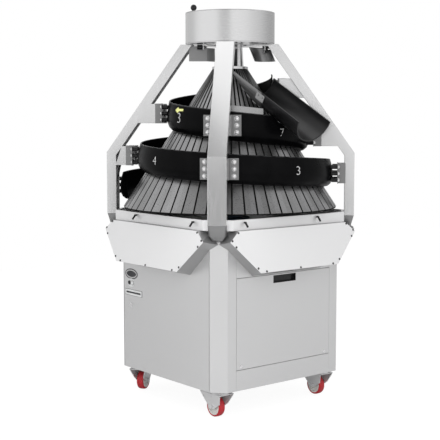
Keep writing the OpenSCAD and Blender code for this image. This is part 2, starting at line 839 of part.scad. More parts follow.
// Trough that is open on one side, with the plate that carries its clamping screw
module right_deflector() {
    tall = clamp_z + 2 - deflector_z;
    wide = 2 * trough_r;
    color(steel) rotate([0, 0, right_az]) difference() {
        union() {
            intersection() {
                difference() {
                    leaning(trough_r);
                    leaning(trough_r - deflector_t);
                }
                translate([60, 0, deflector_z]) cube([180, wide, tall]);
            }
            intersection() {
                translate([146.7, -12, clamp_z - 26]) cube([3, wide, 28]);
                union() {
                    leaning(trough_r - deflector_t / 2);
                    translate([140, -12, clamp_z - 26]) cube([20, 24, 28]);
                }
            }
        }
        translate([0, 0, clamp_z]) bar_x(clamp_r + fit, 140, 155);
        translate([0, 0, clamp_z]) bar_x(clamp_knob_r + 1.5, 158, 240);
        translate([162, 5, clamp_z - 8]) cube([21, 21, 12]);
    }
}

module left_clamp_knob() {
    color(black) rotate([0, 0, left_az]) translate([0, 16, clamp_z]) {
        bar_x(clamp_r, 106, 122);
        bar_x(clamp_knob_r, 118.6, 142);
        bar_x(clamp_r + 3, 106, 111.7);
    }
}

module right_clamp_knob() {
    color(black) rotate([0, 0, right_az]) translate([0, 0, clamp_z]) {
        bar_x(clamp_r, 141, 182);
        bar_x(clamp_knob_r, 178, 198);
        bar_x(clamp_r + 2, 153.3, 179);
        bar_x(clamp_r + 3, 141, 146.4);
    }
}

// Drive

module agitator() {
    color(steel) difference() {
        union() {
            translate([0, 0, drum_z - 6]) cylinder(r = 58 - fit, h = 12);
            translate([0, 0, drum_floor + clear]) cylinder(r = 72, h = 8);
            for (a = [0:120:240]) rotate([0, 0, a]) translate([60, -6, drum_floor + clear])
                cube([drum_r - drum_wall - 68, 12, 10]);
            for (a = [60:120:300]) rotate([0, 0, a]) translate([50, -2, drum_floor + 6])
                cube([70, 4, 30]);
        }
        for (s = [-1, 1]) rotate([0, 0, right_az]) translate([s * rod_at, 0, drum_z - 10])
            cylinder(r = rod_r + fit, h = 40);
    }
}

module cone() {
    inner = cone_at(cone_z + 8) - wall_across;
    inner_top = cone_at(cone_z + 16) - wall_across;
    slant = norm([cone_r - cone_top_r, cone_top_z - cone_z]);
    color("DimGray") difference() {
        union() {
            difference() {
                translate([0, 0, cone_z])
                    cylinder(r1 = cone_r, r2 = cone_top_r, h = cone_top_z - cone_z, $fn = 128);
                translate([0, 0, cone_z - over]) cylinder(
                    r1 = cone_r - wall_across + cone_slope * over,
                    r2 = cone_top_r - wall_across - cone_slope * over,
                    h = cone_top_z - cone_z + 2 * over, $fn = 128);
            }
            translate([0, 0, cone_z + 8]) cylinder(r1 = inner + 1, r2 = inner_top + 1, h = 8);
            translate([0, 0, cone_z + 3]) cylinder(r = shaft_r + 20, h = 45);
        }
        translate([0, 0, cone_z - over]) cylinder(r = shaft_r + 0.02, h = 80);
        for (i = [0:ribs - 1]) rotate([0, 0, i * 360 / ribs])
            translate([cone_r, 0, cone_z]) rotate([0, -half_angle, 0])
                translate([-groove_d, -groove_w / 2, -20]) cube([20, groove_w, slant - 4]);
    }
}

module cone_cap() {
    color(steel) {
        difference() {
            translate([0, 0, cone_top_z]) cylinder(r = cone_top_r + 1.5, h = cap_t);
            translate([0, 0, cone_top_z - over]) cylinder(r = shaft_r + 0.02, h = cap_t + 3);
        }
        rotate([0, 0, right_az]) for (s = [-1, 1])
            translate([s * rod_at, 0, cone_top_z + cap_t])
                cylinder(r = rod_r, h = drum_floor + 6 - cone_top_z - cap_t);
    }
}

module main_shaft() {
    color(steel) {
        translate([0, 0, shaft_z]) cylinder(r = shaft_r, h = cone_top_z + cap_t - shaft_z);
        translate([0, 0, rim_top - 8]) cylinder(r = shaft_r + 14, h = cone_z + 3 - rim_top + 8);
    }
}

gear_box = [190, 250, 150];
gear_wall = 8;
gear_top = gear_z + gear_box.z / 2;

module bearing_housing() {
    color("DimGray") difference() {
        union() {
            translate([0, 0, gear_top]) cylinder(r = bearing_r, h = rim_top - 8 - clear - gear_top);
            translate([0, 0, deck_z + deck_t]) cylinder(r = bearing_r + 30, h = 9);
            translate([0, 0, gear_top]) cylinder(r = bearing_r + 22, h = 12);
        }
        translate([0, 0, gear_top - over]) cylinder(r = shaft_r + fit, h = 400);
    }
}

module gearbox_housing() {
    color("SteelBlue") translate([0, 30, 0]) difference() {
        translate([-gear_box.x / 2, -gear_box.y / 2, gear_z - gear_box.z / 2]) cube(gear_box);
        translate([gear_wall - gear_box.x / 2, gear_wall - gear_box.y / 2,
            gear_wall + gear_z - gear_box.z / 2])
            cube([gear_box.x - 2 * gear_wall, gear_box.y - 2 * gear_wall,
                gear_box.z - 2 * gear_wall]);
        translate([0, -30, gear_z - gear_box.z]) cylinder(r = shaft_r + fit, h = 2 * gear_box.z);
        translate([0, worm_y - 30, gear_z])
            bar_x(worm_shaft_r + fit, -gear_box.x, gear_box.x);
    }
}

module worm_wheel() {
    step = 360 / wheel_teeth;
    color("Goldenrod") translate([0, 0, gear_z - 15]) difference() {
        linear_extrude(height = 30) polygon([for (i = [0:wheel_teeth - 1], j = [0:3])
            let (r = j < 2 ? wheel_r - 5 : wheel_r, a = (i + [0, 0.4, 0.55, 0.85][j]) * step)
                [r * cos(a), r * sin(a)]]);
        translate([0, 0, -over]) cylinder(r = shaft_r + 0.02, h = 40);
    }
}

module worm_shaft() {
    color(steel) translate([0, worm_y, gear_z]) {
        bar_x(worm_shaft_r, -gear_box.x / 2 - 12, gear_box.x / 2 + motor_l - 40);
        bar_x(worm_r - 5, -45, 45);
        for (i = [-4:4]) bar_x(worm_r, i * 10 - 2.5, i * 10 + 2.5);
    }
}

module motor() {
    x0 = gear_box.x / 2;
    color("SteelBlue") translate([0, worm_y, gear_z]) difference() {
        union() {
            bar_x(motor_r - 2, x0, x0 + 10);
            bar_x(motor_r - 6, x0 + 10, x0 + motor_l - 45);
            for (i = [0:23]) rotate([i * 15, 0, 0])
                translate([x0 + 20, motor_r - 8, -1.5]) cube([motor_l - 75, 8, 3]);
            bar_x(motor_r - 2, x0 + motor_l - 45, x0 + motor_l);
            translate([x0 + 30, -30, motor_r - 12]) cube([70, 60, 34]);
        }
        bar_x(worm_shaft_r + 0.1, x0 - over, x0 + motor_l - 38);
    }
}

// Casters

raceway_z = cabinet_z - 10;
function caster_pos(i) = [[-1, -1], [1, -1], [-1, 1], [1, 1]][i] * caster_at;
// Place of a brake pedal's pivot beyond the axle, and its height
brake_out = 44;
brake_z = 84;
// Directions in which the four casters happen to point
caster_yaw = [90, 88, 32, 62];

module caster_plates() {
    color(steel) for (i = [0:3]) translate(caster_pos(i)) {
        translate([-plate_w / 2, -plate_w / 2, cabinet_z - 3]) cube([plate_w, plate_w, 3]);
        translate([0, 0, raceway_z + clear]) cylinder(r = 38, h = 10 - 3 - clear);
        translate([0, 0, raceway_z - 12]) cylinder(r = king_r, h = 15);
        translate([0, 0, raceway_z - 13]) cylinder(r = king_r + 4, h = 13 - 9 - clear);
    }
}

module at_caster(i) {
    translate(caster_pos(i)) rotate([0, 0, caster_yaw[i]]) children();
}

// Height at which a fork's cheeks start to flare, and their slope above it
flare_z = 60;
flare = 20;
cheek_v = 21.5;

module caster_fork(i) {
    top = raceway_z - 9;
    tall = flare_z + (top + 1 - flare_z) / cos(flare);
    color(steel) at_caster(i) difference() {
        union() {
            translate([0, 0, top]) cylinder(r = 38, h = 9);
            translate([-40, -38, top]) cube([trail + 96, 76, 3]);
            for (s = [-1, 1]) translate([0, s * cheek_v, 0]) {
                upright([[-20, flare_z + 1], [trail - 14, wheel_rad - 8],
                    [trail + 14, wheel_rad - 8], [trail + 38, flare_z + 1]], 3);
                translate([0, 0, flare_z]) rotate([-s * flare, 0, 0]) translate([0, 0, -flare_z])
                    upright([[-39, tall], [-37, tall - 8], [-20, flare_z - 0.5],
                        [trail + 38, flare_z - 0.5], [trail + 53, tall - 8], [trail + 55, tall]], 3);
            }
            translate([trail, 0, wheel_rad]) {
                bar_y(axle_r, -cheek_v - 4, cheek_v + 4);
                for (s = [-1, 1]) translate([0, s * (cheek_v + 4), 0]) bar_y(8, -3, 3);
            }
        }
        translate([0, 0, top - over]) cylinder(r = king_r + fit, h = 12);
        translate([trail + brake_out, 0, brake_z]) bar_y(3 + fit, -50, 50);
    }
}

module caster_wheel(i) {
    hub = wheel_rad - 15;
    w = tread_w / 2;
    at_caster(i) translate([trail, 0, wheel_rad]) rotate([90, 0, 0]) {
        color(red) rotate_extrude($fn = 96) polygon([[hub, -w + 2], [wheel_rad - 5, -w],
            [wheel_rad - 1, -w + 4], [wheel_rad, -w + 9], [wheel_rad, w - 9],
            [wheel_rad - 1, w - 4], [wheel_rad - 5, w], [hub, w - 2]]);
        color("Ivory") rotate_extrude($fn = 96) polygon([[axle_r + fit, -w - 2],
            [12, -w - 2], [14, -w + 5], [hub - 5, -w + 4], [hub - 3, -w + 1], [hub, -w + 2],
            [hub, w - 2], [hub - 3, w - 1], [hub - 5, w - 4], [14, w - 5], [12, w + 2],
            [axle_r + fit, w + 2]]);
    }
}

module brake_pedal(i) {
    color(black) at_caster(i) translate([trail + brake_out, 0, brake_z]) {
        bar_y(3, -34, 34);
        bar_y(5, -18, 18);
        rotate([0, 12, 0]) translate([3, -18, -2]) cube([36, 36, 4]);
    }
}

module fork_front_left() { caster_fork(0); }
module fork_front_right() { caster_fork(1); }
module fork_back_left() { caster_fork(2); }
module fork_back_right() { caster_fork(3); }
module wheel_front_left() { caster_wheel(0); }
module wheel_front_right() { caster_wheel(1); }
module wheel_back_left() { caster_wheel(2); }
module wheel_back_right() { caster_wheel(3); }
module brake_front_right() { brake_pedal(1); }
module brake_back_left() { brake_pedal(2); }

base_plate();
corner_posts();
cabinet_panels();
front_rails();
door();
door_pull();
deck();
corner_gussets();
leg_front_left();
leg_front_right();
leg_back_left();
leg_back_right();
skirt_boxes();
skirt_covers();
cover_screws();
rim_catches();
track_1();
track_2();
track_3();
track_4();
track_5();
track_brackets();
track_bolts();
chute();
chute_guide();
chute_fittings();
top_ring();
flour_drum();
drum_lid();
lid_knob();
left_deflector();
right_deflector();
left_clamp_knob();
right_clamp_knob();
agitator();
cone();
cone_cap();
main_shaft();
bearing_housing();
gearbox_housing();
worm_wheel();
worm_shaft();
motor();
control_plate();
start_button();
stop_button();
cam_lock();
label_plates();
cable_gland();
caster_plates();
fork_front_left();
fork_front_right();
fork_back_left();
fork_back_right();
wheel_front_left();
wheel_front_right();
wheel_back_left();
wheel_back_right();
brake_front_right();
brake_back_left();
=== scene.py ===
import bpy
import bmesh
import json
import math
from mathutils import Vector, Matrix
from mathutils.bvhtree import BVHTree


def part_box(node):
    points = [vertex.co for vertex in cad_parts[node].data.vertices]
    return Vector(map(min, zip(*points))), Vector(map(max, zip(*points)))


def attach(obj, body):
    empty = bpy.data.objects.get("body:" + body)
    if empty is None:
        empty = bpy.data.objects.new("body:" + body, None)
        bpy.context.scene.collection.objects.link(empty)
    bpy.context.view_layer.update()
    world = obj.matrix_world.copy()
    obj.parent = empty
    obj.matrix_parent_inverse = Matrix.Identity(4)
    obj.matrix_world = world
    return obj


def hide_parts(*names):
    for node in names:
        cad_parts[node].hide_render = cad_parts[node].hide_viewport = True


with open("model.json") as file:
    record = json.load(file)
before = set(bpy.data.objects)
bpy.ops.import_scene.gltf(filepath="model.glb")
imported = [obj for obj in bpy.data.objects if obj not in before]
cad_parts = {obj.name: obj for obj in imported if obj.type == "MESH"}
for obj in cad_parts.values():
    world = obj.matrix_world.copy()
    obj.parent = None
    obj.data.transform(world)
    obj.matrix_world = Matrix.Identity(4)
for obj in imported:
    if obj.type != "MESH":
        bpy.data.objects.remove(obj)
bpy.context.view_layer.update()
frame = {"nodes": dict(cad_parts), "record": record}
print("frame loaded,", len(frame["nodes"]), "nodes")

mm = 0.001
onePoint = 0.01 * mm  # points nearer than this are merged

# selecting, joining and smoothing


def pickNone():
    if bpy.context.object and bpy.context.object.mode != "OBJECT":
        bpy.ops.object.mode_set(mode="OBJECT")
    bpy.ops.object.select_all(action="DESELECT")


def pickOnly(*pieces):
    pickNone()
    for piece in pieces:
        piece.select_set(True)
    bpy.context.view_layer.objects.active = pieces[0]


def settle(piece):  # puts the piece's place into its mesh
    pickOnly(piece)
    bpy.ops.object.transform_apply(location=True, rotation=True, scale=True)
    return piece


def named(piece, name):
    piece.name = name
    piece.data.name = name
    return piece


def joined(pieces, name):
    pickOnly(*pieces)
    if len(pieces) > 1:
        bpy.ops.object.join()
    return settle(named(bpy.context.object, name))


def bevelled(piece, width, angle):
    pickOnly(piece)
    bpy.ops.object.modifier_add(type="BEVEL")
    bevel = piece.modifiers[-1]
    bevel.width = width * mm
    bevel.segments = 2
    bevel.limit_method = "ANGLE"
    bevel.angle_limit = math.radians(angle)
    bevel.use_clamp_overlap = True
    bpy.ops.object.modifier_apply(modifier=bevel.name)
    return piece


def smoothed(piece, angle):
    pickOnly(piece)
    bpy.ops.object.shade_smooth_by_angle(angle=math.radians(angle))
    return piece


def flattened(piece):  # big faces are shaded flat beside their rounded edges
    pickOnly(piece)
    bpy.ops.object.modifier_add(type="WEIGHTED_NORMAL")
    weighted = piece.modifiers[-1]
    weighted.keep_sharp = True
    bpy.ops.object.modifier_apply(modifier=weighted.name)
    return piece


# shader maths


class Wire:  # a socket, so that shader maths reads as plain sums
    def __init__(self, tree, socket):
        self.tree = tree
        self.socket = socket

    def sum(self, operation, left, right=None):
        node = self.tree.nodes.new("ShaderNodeMath")
        node.operation = operation
        for place, value in enumerate((left, right)):
            if isinstance(value, Wire):
                self.tree.links.new(value.socket, node.inputs[place])
            elif value is not None:
                node.inputs[place].default_value = value
        return Wire(self.tree, node.outputs[0])

    def __add__(self, other):
        return self.sum("ADD", self, other)

    def __radd__(self, other):
        return self.sum("ADD", other, self)

    def __sub__(self, other):
        return self.sum("SUBTRACT", self, other)

    def __rsub__(self, other):
        return self.sum("SUBTRACT", other, self)

    def __mul__(self, other):
        return self.sum("MULTIPLY", self, other)

    def __truediv__(self, other):
        return self.sum("DIVIDE", self, other)

    def below(self, other):
        return self.sum("LESS_THAN", self, other)

    def floor(self):
        return self.sum("FLOOR", self)

    def size(self):
        return self.sum("ABSOLUTE", self)

    def most(self, other):
        return self.sum("MINIMUM", self, other)

    def least(self, other):
        return self.sum("MAXIMUM", self, other)

    def turn(self, other):  # the part of a full turn, from -0.5 to 0.5, whose Y is this and X other
        return self.sum("ARCTAN2", self, other) / (2 * math.pi)


class Nodes:  # a node tree that is filled by calls
    def __init__(self, tree):
        self.tree = tree
        self.tree.nodes.clear()

    def add(self, kind, settings=None, values=None, output=0):
        node = self.tree.nodes.new(kind)
        for key, value in (settings or {}).items():
            setattr(node, key, value)
        for key, value in (values or {}).items():
            if isinstance(value, Wire):
                self.tree.links.new(value.socket, node.inputs[key])
            else:
                node.inputs[key].default_value = value
        return Wire(self.tree, node.outputs[output])

    def axes(self, vector):
        node = self.add("ShaderNodeSeparateXYZ", {}, {"Vector": vector}).socket.node
        return [Wire(self.tree, output) for output in node.outputs]

    def ramp(self, amount, stops):
        colour = self.add("ShaderNodeValToRGB", {}, {"Fac": amount})
        elements = colour.socket.node.color_ramp.elements
        while len(elements) < len(stops):
            elements.new(0.5)
        for element, (place, shade) in zip(elements, stops):
            element.position = place
            element.color = shade
        return colour

    def ray(self, kind):  # 1 for rays of this kind
        return self.add("ShaderNodeLightPath", output="Is " + kind + " Ray")

    def close(self, kind, shader):
        node = self.tree.nodes.new(kind)
        self.tree.links.new(shader.socket, node.inputs["Surface"])


class Finish(Nodes):  # one material
    def __init__(self, name):
        self.material = bpy.data.materials.new(name)
        self.material.use_nodes = True
        super().__init__(self.material.node_tree)

    def place(self):
        return self.add("ShaderNodeTexCoord", output="Object")

    def noise(self, scale, detail=3.0, stretch=(1, 1, 1), roughness=0.5):
        mapped = self.add("ShaderNodeMapping", {"vector_type": "POINT"},
                          {"Vector": self.place(), "Scale": stretch})
        return self.add("ShaderNodeTexNoise", {"noise_dimensions": "3D"},
                        {"Vector": mapped, "Scale": scale, "Detail": detail,
                         "Roughness": roughness})

    def blend(self, amount, first, second):  # a Mix node's colours are its inputs 6 and 7, output 2
        return self.add("ShaderNodeMix", {"data_type": "RGBA"},
                        {0: amount, 6: first, 7: second}, 2)

    def bump(self, height, strength, distance=0.0002):
        return self.add("ShaderNodeBump", {},
                        {"Height": height, "Strength": strength, "Distance": distance})

    def done(self, **sockets):
        values = {key.replace("_", " "): value for key, value in sockets.items()}
        shader = self.add("ShaderNodeBsdfPrincipled", {}, values)
        self.close("ShaderNodeOutputMaterial", shader)
        return self.material


def grey(level, blue=1):
    return (level, level, level * blue, 1)


def toned(tone, share=1, lift=0):  # a colour made lighter or darker
    return tuple(min(1, part * share + lift) for part in tone) + (1,)


# brushed and plated steels, one of them darkened as painted shade: tone, spread of tone, metallic,
# roughness, grain along X, Y and Z
steelLooks = {
    "panelSteel": (0.67, 0.05, 0.6, 0.36, (18, 18, 420)),
    "legSteel": (0.78, 0.04, 0.9, 0.18, (420, 420, 9)),
    "skirtSteel": (0.84, 0.03, 0.5, 0.45, (10, 10, 420)),
    # the skirt boxes' steel is darker than the other sheet steels: painted shade for the shade
    # under the skirt covers
    "boxSteelPaintedShade": (0.42, 0.05, 0.75, 0.36, (18, 18, 420)),
    "rimSteel": (0.84, 0.04, 0.6, 0.36, (12, 12, 420)),
    "drumSteel": (0.68, 0.07, 0.92, 0.24, (6, 6, 520)),
    "guideSteel": (0.3, 0.08, 0.9, 0.36, (30, 160, 160)),
    "zincPlate": (0.5, 0.12, 0.85, 0.36, (40, 40, 40)),
    "bracketSteel": (0.27, 0.12, 0.85, 0.34, (40, 40, 40)),
    "bandSteel": (0.36, 0.1, 0.9, 0.3, (60, 60, 60)),
    "forkZinc": (0.72, 0.08, 0.5, 0.32, (40, 40, 40)),
    "boltSteel": (0.85, 0.05, 0.8, 0.18, (60, 60, 60)),
    "screwDark": (0.09, 0.1, 0.8, 0.4, (300, 300, 300)),
}
steelGrain = {"detail": 4.0, "uneven": 0.65, "streaks": 1.6, "clouds": 2.2, "cloudDetail": 2.0,
              "dark": 0.8, "light": 1.2, "blue": 1.01, "streakRough": 0.18, "cloudRough": 0.1,
              "bump": 0.12}


def steelFinish(name):
    tone, spread, metal, rough, grain = steelLooks[name]
    look = steelGrain
    finish = Finish(name)
    streaks = finish.noise(1.0, look["detail"], grain, look["uneven"])
    clouds = finish.noise(look["clouds"], look["cloudDetail"])
    level = (streaks - 0.5) * spread * look["streaks"] + (clouds - 0.5) * spread
    colour = finish.ramp(level + 0.5, [(0.0, grey(tone * look["dark"])),
                                       (1.0, grey(tone * look["light"], look["blue"]))])
    worn = rough + (streaks - 0.5) * look["streakRough"] + (clouds - 0.5) * look["cloudRough"]
    return finish.done(Base_Color=colour, Metallic=metal, Roughness=worn,
                       Normal=finish.bump(streaks, look["bump"]))


# plastics, rubber, paint, marks and the grooves' painted shade: colour, roughness, speckles to the
# metre, bump, gloss
mouldedLooks = {
    "trackBlack": ((0.0022, 0.0022, 0.0025), 0.3, 900, 0.08, 0.05),
    "chuteBlack": ((0.005, 0.005, 0.0055), 0.34, 900, 0.06, 0.5),
    "rimBlack": ((0.012, 0.012, 0.013), 0.24, 900, 0.05, 0.4),
    # the cone's grooves, walls and bottoms, are near black: painted shade in the recesses between
    # the ribs
    "grooveBlackPaintedShade": ((0.004, 0.004, 0.004), 0.6, 700, 0.05, 0.1),
    "knobBlack": ((0.009, 0.009, 0.01), 0.3, 700, 0.05, 0.4),
    "plateWhite": ((0.7, 0.71, 0.71), 0.3, 500, 0.03, 0.5),
    "markPale": ((0.5, 0.5, 0.5), 0.5, 800, 0.05, 0.3),
    "arrowYellow": ((0.78, 0.8, 0.3), 0.45, 800, 0.05, 0.3),
    "labelDark": ((0.03, 0.031, 0.035), 0.4, 500, 0.02, 0.4),
    "hubIvory": ((0.66, 0.65, 0.62), 0.35, 400, 0.04, 0.5),
    "tyreRed": ((0.46, 0.022, 0.03), 0.45, 800, 0.15, 0.4),
    "drivePaint": ((0.06, 0.09, 0.13), 0.42, 350, 0.15, 0.5),
}
mouldedWear = {"speckleDetail": 2.0, "scale": 14, "detail": 4.0, "from": 0.45, "gain": 2.0,
               "paler": 1.35, "lift": 0.002, "rough": 0.2}


def mouldedFinish(name):
    tone, rough, speckles, bump, gloss = mouldedLooks[name]
    look = mouldedWear
    finish = Finish(name)
    speckle = finish.noise(speckles, look["speckleDetail"])
    wear = finish.noise(look["scale"], look["detail"])
    colour = finish.blend((wear - look["from"]).least(0) * look["gain"], toned(tone),
                          toned(tone, look["paler"], look["lift"]))
    return finish.done(Base_Color=colour, Roughness=rough + (wear - 0.5) * look["rough"],
                       Specular_IOR_Level=gloss, Normal=finish.bump(speckle, bump))


coneLook = {"ribs": 56, "tone": 0.36, "metal": 0.92, "rough": 0.3, "roughSpread": 0.2, "bump": 0.2,
            "grain": (140, 140, 520), "detail": 3.0, "uneven": 0.6, "clouds": 9, "cloudDetail": 2.0,
            "byRib": 0.22, "byGrain": 0.5, "byCloud": 0.28, "dark": 0.8, "light": 1.25,
            "blue": 1.02}


def coneFinish():  # each rib has its own tone
    look = coneLook
    finish = Finish("coneRibs")
    x, y = finish.axes(finish.place())[:2]
    rib = (y.turn(x) * look["ribs"] + 0.5).floor()
    own = finish.add("ShaderNodeTexWhiteNoise", {"noise_dimensions": "1D"}, {"W": rib})
    grain = finish.noise(1.0, look["detail"], look["grain"], look["uneven"])
    clouds = finish.noise(look["clouds"], look["cloudDetail"])
    level = own * look["byRib"] + grain * look["byGrain"] + clouds * look["byCloud"]
    colour = finish.ramp(level, [(0.25, grey(look["tone"] * look["dark"])),
                                 (0.75, grey(look["tone"] * look["light"], look["blue"]))])
    return finish.done(Base_Color=colour, Metallic=look["metal"],
                       Roughness=look["rough"] + (grain - 0.5) * look["roughSpread"],
                       Normal=finish.bump(grain, look["bump"]))


bronzeLook = {"tone": (0.5, 0.34, 0.14), "dark": 0.8, "grain": 90, "detail": 3.0,
              "rough": 0.3, "roughSpread": 0.2}


def bronzeFinish():
    look = bronzeLook
    finish = Finish("bronzeGear")
    grain = finish.noise(look["grain"], look["detail"])
    colour = finish.ramp(grain, [(0.2, toned(look["tone"], look["dark"])),
                                 (0.8, toned(look["tone"]))])
    return finish.done(Base_Color=colour, Metallic=1.0,
                       Roughness=look["rough"] + (grain - 0.5) * look["roughSpread"])


finishes = {name: steelFinish(name) for name in steelLooks}
finishes.update({name: mouldedFinish(name) for name in mouldedLooks})
finishes["coneRibs"] = coneFinish()
finishes["bronzeGear"] = bronzeFinish()
print("finishes made,", len(finishes))


def paint(piece, *names):
    piece.data.materials.clear()
    for name in names:
        piece.data.materials.append(finishes[name])
    return piece


# the record's bodies and slots

behaviour = frame["record"]["behaviour"]
bodyOf = {node: body for body, nodes in behaviour["bodies"].items() for node in nodes}


def standIn(piece, node, *more):  # the piece stands for these CAD nodes
    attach(piece, bodyOf[node])
    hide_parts(node, *more)
    return piece


def addTo(piece, node):  # the piece is fixed to this CAD node
    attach(piece, bodyOf[node])
    return piece


def looseBodies(node):  # the points of each separate solid of a CAD node
    shape = bmesh.new()
    shape.from_mesh(frame["nodes"][node].data)
    bmesh.ops.remove_doubles(shape, verts=shape.verts, dist=onePoint)
    waiting = set(shape.verts)
    solids = []
    for first in shape.verts:
        if first not in waiting:
            continue
        waiting.discard(first)
        found, queue = [first], [first]
        while queue:
            vert = queue.pop()
            for edge in vert.link_edges:
                other = edge.other_vert(vert)
                if other in waiting:
                    waiting.discard(other)
                    found.append(other)
                    queue.append(other)
        solids.append([vert.co.copy() for vert in found])
    shape.free()
    return solids


# shaping


def openEdit(piece, kind):  # edit mode with nothing picked
    pickOnly(piece)
    bpy.ops.object.mode_set(mode="EDIT")
    bpy.ops.mesh.select_mode(type=kind)
    bpy.ops.mesh.select_all(action="DESELECT")
    return bmesh.from_edit_mesh(piece.data)


def showPicked(piece, shape):
    shape.select_flush_mode()
    bmesh.update_edit_mesh(piece.data)


def pickFaces(piece, wanted):  # edit mode, with the faces whose middle and normal are wanted
    shape = openEdit(piece, "FACE")
    for face in shape.faces:
        if wanted(face.calc_center_median() / mm, face.normal):
            face.select_set(True)
    showPicked(piece, shape)


def pickEdges(piece, wanted):  # edit mode, with the edges whose two ends are wanted
    shape = openEdit(piece, "EDGE")
    for edge in shape.edges:
        if wanted(edge.verts[0].co / mm, edge.verts[1].co / mm):
            edge.select_set(True)
    showPicked(piece, shape)


def leaveEdit():
    bpy.ops.object.mode_set(mode="OBJECT")


def extruded(x, y, z):  # moves the picked faces out, in mm, with new sides behind them
    bpy.ops.mesh.extrude_region_move(TRANSFORM_OT_translate={"value": (x * mm, y * mm, z * mm)})


def turned(name, outline, sides):  # an outline of (radius, height) in mm, drawn up the Z axis
    pickNone()
    (low, start), (wide, end) = outline[0], outline[1]
    bpy.ops.mesh.primitive_cone_add(vertices=sides, radius1=low * mm, radius2=wide * mm,
                                    depth=(end - start) * mm,
                                    location=(0, 0, (start + end) / 2 * mm))
    piece = settle(bpy.context.object)
    pickFaces(piece, lambda place, normal: normal.z > 0.99 and place.z > end - 0.001)
    last = wide
    for radius, height in outline[2:]:
        extruded(0, 0, height - end)
        bpy.ops.transform.resize(value=(radius / last, radius / last, 1),
                                 center_override=(0, 0, 0))
        last, end = radius, height
    leaveEdit()
    return named(piece, name)


def facing(direction):  # turns a piece's Z axis to this direction
    return Vector(direction).to_track_quat("Z", "Y").to_matrix().to_4x4()


def moved(piece, place, direction):  # a turned piece goes to its place
    piece.matrix_world = Matrix.Translation(place) @ facing(direction)
    return settle(piece)


def copyAt(piece, place, direction):
    pickOnly(piece)
    bpy.ops.object.duplicate(linked=False)
    return moved(bpy.context.object, place, direction)


def discard(piece):
    bpy.data.objects.remove(piece, do_unlink=True)


def levelWay(angle):  # a level direction by its degrees from +X
    turn = math.radians(angle)
    return Vector((math.cos(turn), math.sin(turn), 0))


def around(angle, radius, height):  # a place by its degrees round the axis, in mm
    return (levelWay(angle) * radius + Vector((0, 0, height))) * mm


# cone

coneSizes = {"foot": 467, "top": 76.5, "low": 837, "high": 1432, "groove": 5.2, "depth": 3.5,
             "flank": 0.25, "round": 0.5, "rim": 9, "lip": 0.5, "hollow": 8}


def ribbedCone():
    size = coneSizes
    pickNone()
    bpy.ops.mesh.primitive_cone_add(
        vertices=coneLook["ribs"], radius1=(size["foot"] - size["depth"]) * mm,
        radius2=(size["top"] - size["depth"]) * mm, depth=(size["high"] - size["low"]) * mm,
        location=(0, 0, (size["high"] + size["low"]) / 2 * mm), end_fill_type="NGON")
    piece = settle(bpy.context.object)
    pickFaces(piece, lambda place, normal: abs(normal.z) < 0.99)
    for inset, rise in ((size["groove"] / 2, 0), (size["flank"], size["depth"] - size["round"]),
                        (size["round"], size["round"])):  # the ribs rise out of the grooves
        bpy.ops.mesh.inset(thickness=inset * mm, depth=rise * mm, use_individual=True)
    leaveEdit()
    # the rib tops take the cone's finish; every groove face takes the near-black painted shade
    paint(piece, "coneRibs", "grooveBlackPaintedShade")
    for face in piece.data.polygons:
        face.material_index = 0 if face.select else 1
    pickFaces(piece, lambda place, normal: normal.z < -0.99 and place.z < size["low"] + 1)
    bpy.ops.mesh.inset(thickness=size["rim"] * mm, depth=0)
    bpy.ops.mesh.inset(thickness=size["lip"] * mm, depth=-size["hollow"] * mm)
    leaveEdit()
    return standIn(named(piece, "ribbedCone"), "cone")


ribbedCone()
print("cone shaped")

# dome bolts on the track's brackets

boltSizes = {
    "plate": 3, "head": 6, "wall": 7.5, "end": 15, "sides": 16, "smooth": 32,
    # (radius, height) up from the shank's end, with the plate's outer face at 0
    "outline": [(3.2, -15), (4, -14), (4, -11), (9, -11), (9, -3), (4, -3), (4, 0), (10, 0),
                (10, 1), (9.4, 1.5), (8, 1.5), (8, 3), (7.2, 4.6), (5.6, 5.8), (3, 6.4),
                (0.8, 6.6)],
}


def domeBolts():
    size = boltSizes
    model = paint(turned("domeBolt", size["outline"], size["sides"]), "boltSteel", "knobBlack")
    for face in model.data.polygons:  # the spacer behind the plate is black
        face.material_index = 1 if face.center.z < (0.1 - size["plate"]) * mm else 0
    bolts = []
    for points in looseBodies("track_bolts"):
        centre = sum(points, Vector()) / len(points)
        outwards = Vector((math.copysign(1, centre.x), math.copysign(1, centre.y), 0)).normalized()
        sideways = Vector((-outwards.y, outwards.x, 0))
        reach = [point.dot(outwards) for point in points]
        across = [point.dot(sideways) for point in points]
        heights = [point.z for point in points]
        seat = max(reach) - size["head"] * mm
        place = outwards * seat + sideways * (max(across) + min(across)) / 2
        place.z = (max(heights) + min(heights)) / 2
        bolt = copyAt(model, place, outwards)
        longer = seat - min(reach) - size["end"] * mm
        for vert in bolt.data.vertices:  # the shank reaches into the track's wall
            if vert.co.dot(outwards) < seat - size["wall"] * mm:
                vert.co -= outwards * longer
        bolts.append(bolt)
    discard(model)
    return standIn(smoothed(joined(bolts, "bracketBolts"), size["smooth"]), "track_bolts")


domeBolts()

# screws of the skirt covers, which lean as the covers do

screwSizes = {"lean": 13.9, "sides": 12, "smooth": 35,
              "outline": [(4.2, -1), (4.6, 0), (4.6, 0.6), (3.5, 1.8), (2, 2.4), (1.7, 2.4),
                          (1.4, 1)]}


